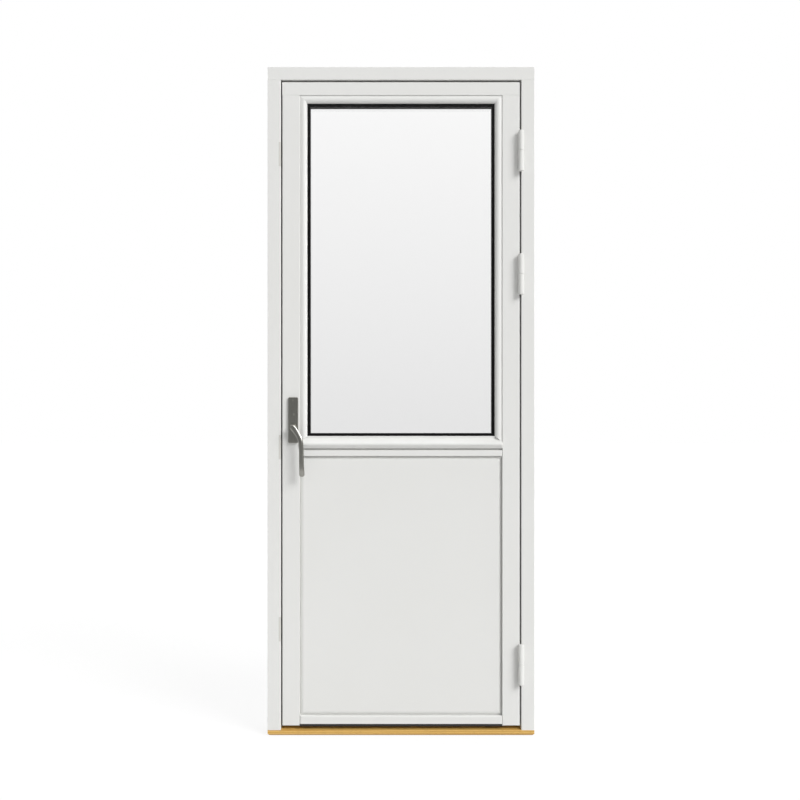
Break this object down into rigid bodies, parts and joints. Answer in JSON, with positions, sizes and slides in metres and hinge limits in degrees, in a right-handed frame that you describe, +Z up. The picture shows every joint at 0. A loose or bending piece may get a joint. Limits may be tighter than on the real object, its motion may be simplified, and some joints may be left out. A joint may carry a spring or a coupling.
{
  "type": "glazed door with frame",
  "caption": "Side-hung outward-opening door in its wooden frame, glazed above and panelled below, with cranked lever, three-point bolts, lift-off hinges and oak threshold.",
  "frame": {"origin": "middle of the threshold's underside", "axes": "+Z up, +X towards the hinge side, -Y towards the outside, where the leaf opens"},
  "size_m": [0.79, 0.149, 1.98],
  "materials": {
    "white_painted_wood": "satin white paint",
    "oiled_oak": "oiled",
    "core_board": "raw board",
    "clear_glass": "clear",
    "black_spacer": "matt",
    "black_rubber": "matt",
    "grey_rubber": "matt",
    "block_plastic": "matt",
    "white_strike": "satin",
    "white_lacquered_steel": "satin",
    "zinc_plated_steel": "zinc plated",
    "satin_nickel": "satin"
  },
  "bodies": {
    "frame": {"frame_head": "white_painted_wood", "frame_jamb_lock_side": "white_painted_wood", "frame_jamb_hinge_side": "white_painted_wood", "threshold": "oiled_oak", "frame_seal": "grey_rubber", "strike_plate_lower": "white_strike", "strike_plate_middle": "white_strike", "strike_plate_upper": "white_strike", "strike_screws": "zinc_plated_steel", "hinge_frame_half_lower": "white_lacquered_steel", "hinge_frame_half_middle": "white_lacquered_steel", "hinge_frame_half_upper": "white_lacquered_steel", "hinge_pins": "zinc_plated_steel", "hinge_frame_screws": "zinc_plated_steel"},
    "leaf": {"leaf_top_rail": "white_painted_wood", "leaf_stile_lock_side": "white_painted_wood", "leaf_stile_hinge_side": "white_painted_wood", "leaf_mid_rail": "white_painted_wood", "leaf_bottom_rail": "white_painted_wood", "panel_outer_skin": "white_painted_wood", "panel_core": "core_board", "panel_inner_skin": "white_painted_wood", "glass_pane_outer": "clear_glass", "glass_pane_middle": "clear_glass", "glass_pane_inner": "clear_glass", "glass_spacer_outer": "black_spacer", "glass_spacer_inner": "black_spacer", "glass_edge_seal": "black_rubber", "glazing_bead_left": "white_painted_wood", "glazing_bead_right": "white_painted_wood", "glazing_bead_top": "white_painted_wood", "glazing_bead_bottom": "white_painted_wood", "glazing_tape_outer": "black_rubber", "glazing_tape_inner": "black_rubber", "setting_blocks": "block_plastic", "bottom_seal": "black_rubber", "hinge_leaf_half_lower": "white_lacquered_steel", "hinge_leaf_half_middle": "white_lacquered_steel", "hinge_leaf_half_upper": "white_lacquered_steel", "hinge_leaf_screws": "zinc_plated_steel", "lock_faceplate": "zinc_plated_steel", "lock_case": "zinc_plated_steel", "lock_cover": "zinc_plated_steel", "faceplate_screws": "zinc_plated_steel", "handle_plate_outside": "satin_nickel", "handle_plate_inside": "satin_nickel", "handle_plate_screws": "satin_nickel"},
    "handle": {"lever_outside": "satin_nickel", "lever_inside": "satin_nickel", "handle_spindle": "zinc_plated_steel", "follower_gear": "zinc_plated_steel"},
    "drive_bar": {"drive_bar": "zinc_plated_steel"},
    "bolt_lower": {"bolt_lower": "zinc_plated_steel"},
    "bolt_middle": {"bolt_middle": "zinc_plated_steel"},
    "bolt_upper": {"bolt_upper": "zinc_plated_steel"},
    "safety_button": {"safety_button": "satin_nickel"}
  },
  "joints": [
    {"name": "leaf_swing", "type": "hinge", "parent": "frame", "child": "leaf", "pos_m": [0.355, -0.0665, 0.9], "axis": [0, 0, 1], "range_deg": [0, 180]},
    {"name": "handle_turn", "type": "hinge", "parent": "leaf", "child": "handle", "pos_m": [-0.319, -0.0265, 0.913], "axis": [0, -1, 0], "range_deg": [0, 90]},
    {"name": "drive_bar_slide", "type": "slide", "parent": "leaf", "child": "drive_bar", "axis": [0, 0, -1], "range_m": [0, 0.01768]},
    {"name": "bolt_lower_throw", "type": "slide", "parent": "leaf", "child": "bolt_lower", "axis": [-1, 0, 0], "range_m": [0, 0.00901]},
    {"name": "bolt_middle_throw", "type": "slide", "parent": "leaf", "child": "bolt_middle", "axis": [-1, 0, 0], "range_m": [0, 0.00901]},
    {"name": "bolt_upper_throw", "type": "slide", "parent": "leaf", "child": "bolt_upper", "axis": [-1, 0, 0], "range_m": [0, 0.00901]},
    {"name": "safety_press", "type": "slide", "parent": "leaf", "child": "safety_button", "axis": [0, 1, 0], "range_m": [0, 0.0025], "stiffness_N_per_m": 400, "springref_m": -0.002}
  ],
  "couplings": [
    {"joint": "drive_bar_slide", "follows": "handle_turn", "m_per_rad": 0.01125},
    {"joint": "bolt_lower_throw", "follows": "handle_turn", "m_per_rad": 0.0057296},
    {"joint": "bolt_middle_throw", "follows": "handle_turn", "m_per_rad": 0.0057296},
    {"joint": "bolt_upper_throw", "follows": "handle_turn", "m_per_rad": 0.0057296}
  ]
}
